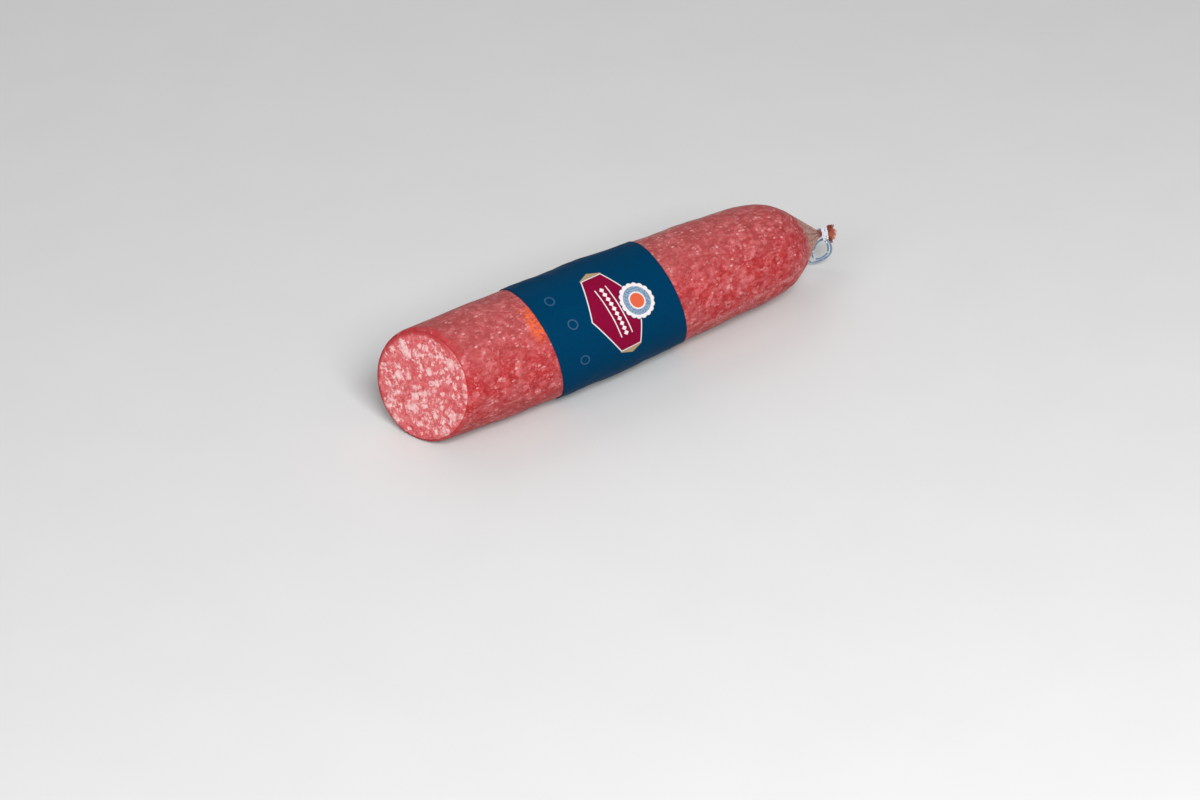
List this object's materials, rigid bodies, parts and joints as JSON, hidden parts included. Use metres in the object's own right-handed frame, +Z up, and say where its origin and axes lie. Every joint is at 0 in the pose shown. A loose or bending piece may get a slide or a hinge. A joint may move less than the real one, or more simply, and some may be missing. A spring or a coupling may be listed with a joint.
{
  "type": "cured sausage",
  "caption": "Cured sausage log with a slanted cut face, a gathered and tied far end with a twine hanging loop, and a plain printed band round the middle.",
  "frame": {"origin": "on the surface the sausage lies on, under the middle of the box round it (without the hanging loop)", "axes": "+X along the sausage from the cut end to the tied end, +Y to its far side, +Z up"},
  "size_m": [0.2617, 0.0603, 0.0582],
  "materials": {
    "meat": "moist cut cured meat, lean and fat mottled, soft sheen",
    "casing": "thin translucent casing over cured meat, satin, tan where gathered",
    "label": "satin printed film band, dark blue with a crimson panel",
    "twine": "twisted cotton twine, white and blue strands"
  },
  "bodies": {
    "root": {"sausage_meat": "meat", "casing": "casing", "label_band": "label", "neck_binding": "twine", "hanging_loop": "twine"}
  },
  "joints": []
}
